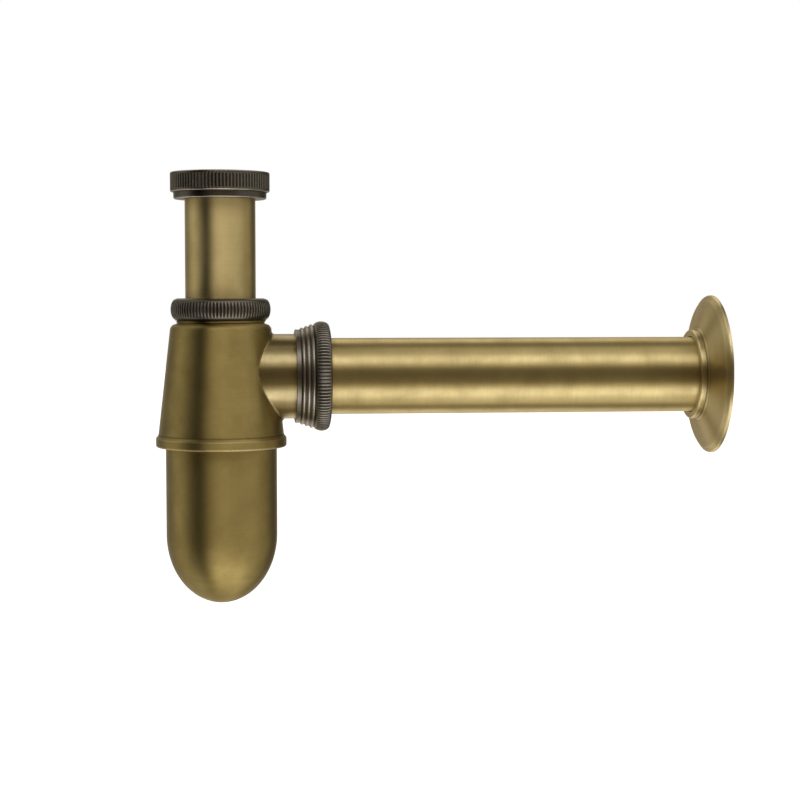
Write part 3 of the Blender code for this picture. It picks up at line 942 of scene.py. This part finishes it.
def wall_flange():
    """A spun dome: flat rim against the wall, rolled edge, full crown and a beaded collar."""
    outer = radius_of("wall_flange")
    start, back = ends_of("wall_flange", "X")
    collar_r, neck, sheet, rim = 20.9, 222.4, 1.2, 1.3
    waist = collar_r - 0.1
    crown = [(34.6, 2.95), (30.0, 4.15), (25.4, 5.5)]  # radius, and height above the wall
    corners = [
        Corner(outer, back, 0.25),
        Corner(outer, back - rim, 1.4),
        *[Corner(r, back - rise, 3.0) for r, rise in crown],
        Corner(22.0, back - 6.6, 1.5),
        Corner(waist, neck, 1.0),
        Corner(waist, start + 1.9, 0.25),
        Corner(collar_r, start + 1.6, 0.3),
        Corner(collar_r, start, 0.75),
        Corner(OUTLET_HOLE_R, start, 0.35),
        Corner(OUTLET_HOLE_R, start + 1.0, 0.15),
        Corner(collar_r - sheet, start + 1.0, 0.3),
        Corner(collar_r - sheet, neck + 0.6, 1.0),
        *[Corner(r - 0.2, back - rise + sheet + 0.1, 3.0) for r, rise in crown[::-1]],
        Corner(outer - rim, back, 0.2),
    ]
    obj = lathe("wall_flange_spun", corners, "X", segments=FINE_SEGMENTS)
    shown_as("wall_flange", "wall_flange", "tube_flange", obj)


def flange_grip_ring():
    """A round rubber section, between the tube and the collar."""
    start, end = ends_of("flange_grip_ring", "X")
    inner, outer = radius_of("outlet_tube") + 0.04, radius_of("flange_grip_ring") + 0.02
    section = (outer - inner) / 2
    points = 20
    turn = 360 * (points - 1) / points
    corners = arc(inner + section, (end + start) / 2, section, 0, turn, points - 1)
    obj = lathe("flange_grip_ring_moulded", corners, "X", segments=SEAL_SEGMENTS)
    shown_as("flange_grip_ring", "flange_grip_ring", "rubber", obj)


# ---------------------------------------------------------------- studio

FLOOR_Z = -0.62
CAMERA_AZIMUTH, CAMERA_ELEVATION = radians(-6.6), radians(3.6)
CAMERA_TARGET = Vector((0.0823, 0.0, -0.104))
CAMERA_DISTANCE = 0.81
FOCAL_PIXELS, FRAME_PIXELS, SENSOR_MM = 1750, 800, 36.0


def camera():
    data = bpy.data.cameras.new("camera")
    data.sensor_width = SENSOR_MM
    data.lens = SENSOR_MM * FOCAL_PIXELS / FRAME_PIXELS
    data.clip_start = 0.01
    data.clip_end = 50
    obj = bpy.data.objects.new("camera", data)
    bpy.context.scene.collection.objects.link(obj)
    a, e = CAMERA_AZIMUTH, CAMERA_ELEVATION
    back = Vector((sin(a) * cos(e), -cos(a) * cos(e), sin(e)))
    obj.location = CAMERA_TARGET + back * CAMERA_DISTANCE
    obj.rotation_euler = back.to_track_quat("Z", "Y").to_euler()
    bpy.context.scene.camera = obj


def floor():
    """A pale floor that the trap hangs above, as wide as the studio."""
    mesh = bpy.data.meshes.new("floor")
    bm = bmesh.new()
    bmesh.ops.create_circle(bm, cap_ends=True, radius=12.0, segments=96)
    bm.to_mesh(mesh)
    bm.free()
    obj = bpy.data.objects.new("floor", mesh)
    obj.location.z = FLOOR_Z
    bpy.context.scene.collection.objects.link(obj)
    n = Finish("pale_floor")
    n.shader.inputs["Base Color"].default_value = (0.93, 0.93, 0.93, 1.0)
    n.shader.inputs["Roughness"].default_value = 0.8
    n.shader.inputs["Specular IOR Level"].default_value = 0.2
    n.shader.inputs["Emission Color"].default_value = (1.0, 1.0, 1.0, 1.0)
    n.shader.inputs["Emission Strength"].default_value = 0.6
    mesh.materials.append(n.material)
    obj.visible_glossy = False


def sky(n, tilt, rows):
    """Light by elevation, from (degrees, brightness) rows. The darker it is, the warmer."""
    stops = [(degrees / 180 + 0.5, tuple(b * share for share in warmth(b))) for degrees, b in rows]
    return n.ramp(tilt, stops)


def all_round(n, turn, rows):
    """Light by direction round the trap, from (degrees, brightness) rows."""
    return n.ramp(turn, [((degrees + 180) / 360, (b, b, b)) for degrees, b in rows])


def warmth(brightness):
    """Shares of red, green and blue."""
    return 1.0, min(1.0, 0.8 + 0.16 * brightness), min(1.08, 0.5 + 0.36 * brightness)


# Degrees of elevation, and brightness
FRONT_SKY = [(-90, 0.1), (-74, 0.64), (-57, 2.2), (-43, 1.95), (-29, 0.75), (-18, 0.22), (6, 0.11)]
FRONT_SKY += [(22, 0.14), (34, 0.8), (45, 1.85), (57, 1.75), (68, 0.5), (78, 0.12), (90, 0.06)]
BACK_SKY = [(-90, 0.1), (-70, 0.25), (-50, 0.8), (-32, 0.85), (-15, 0.32), (6, 0.25)]
BACK_SKY += [(20, 0.3), (36, 0.9), (52, 0.85), (64, 0.1), (90, 0.06)]

# Degrees round the trap from the front, and brightness
ROUND_SKY = [(-180, 1.15), (-162, 1.0), (-146, 0.5), (-130, 0.25), (-112, 0.5), (-97, 0.5), (-80, 0.4)]
ROUND_SKY += [(-70, 0.15), (-62, 0.02), (-49, 0.02), (-39, 0.3), (-28, 0.8), (-12, 1.15), (6, 1.28)]
ROUND_SKY += [(26, 1.08), (46, 0.75), (72, 0.5), (112, 0.45), (126, 0.1), (142, 0.1), (158, 0.9)]
ROUND_SKY += [(180, 1.15)]
SIDE_FILL = [(-180, 0.1), (-140, 0.14), (-115, 0.34), (-98, 0.44), (-84, 0.28), (-73, 0.05), (-66, 0.0)]
SIDE_FILL += [(18, 0.0), (34, 0.1), (50, 0.27), (66, 0.38), (82, 0.4), (100, 0.34), (120, 0.15)]
SIDE_FILL += [(145, 0.05), (180, 0.1)]
WHITE = (1.0, 1.0, 1.0)


def world():
    """White to the camera. To the metal, a studio with a dark belt at eye level and dark side panels."""
    made = bpy.data.worlds.new("studio")
    made.use_nodes = True
    made.node_tree.nodes.clear()
    bpy.context.scene.world = made
    n = Nodes(made.node_tree)
    split = n.add("ShaderNodeSeparateXYZ")
    n.link(n.add("ShaderNodeTexCoord").outputs["Generated"], split.inputs[0])
    x, y, z = split.outputs
    tilt = n.math("MULTIPLY_ADD", n.math("ARCSINE", z), 1 / pi, 0.5)
    turn = n.math("MULTIPLY_ADD", n.math("ARCTAN2", x, n.math("MULTIPLY", y, -1.0)), 0.5 / pi, 0.5)
    by_height = n.blend(n.smooth(y, -0.06, 0.26), sky(n, tilt, FRONT_SKY), sky(n, tilt, BACK_SKY))
    near_pole = n.smooth(n.math("ABSOLUTE", z), 0.8, 0.99)
    by_turn = n.blend(near_pole, all_round(n, turn, ROUND_SKY), WHITE)
    light = n.mix("MULTIPLY", 1.0, by_height, by_turn)
    room = n.add("ShaderNodeBackground")
    n.give(n.mix("ADD", 1.0, light, all_round(n, turn, SIDE_FILL)), room.inputs["Color"])
    backdrop = n.add("ShaderNodeBackground")
    n.give(WHITE, backdrop.inputs["Color"])
    shared = n.add("ShaderNodeMixShader")
    n.link(n.add("ShaderNodeLightPath").outputs["Is Camera Ray"], shared.inputs[0])
    n.link(room.outputs[0], shared.inputs[1])
    n.link(backdrop.outputs[0], shared.inputs[2])
    n.link(shared.outputs[0], n.add("ShaderNodeOutputWorld").inputs[0])


def studio():
    camera()
    floor()
    world()
    bpy.context.scene.view_settings.view_transform = "Standard"


def main():
    studio()
    inlet_nut()
    inlet_tube()
    inlet_washer()
    body_nut()
    body_slip_ring()
    body_cone_washer()
    trap_body()
    bowl_gasket()
    bowl()
    outlet_nut()
    outlet_slip_ring()
    outlet_cone_washer()
    outlet_tube()
    wall_flange()
    flange_grip_ring()


main()
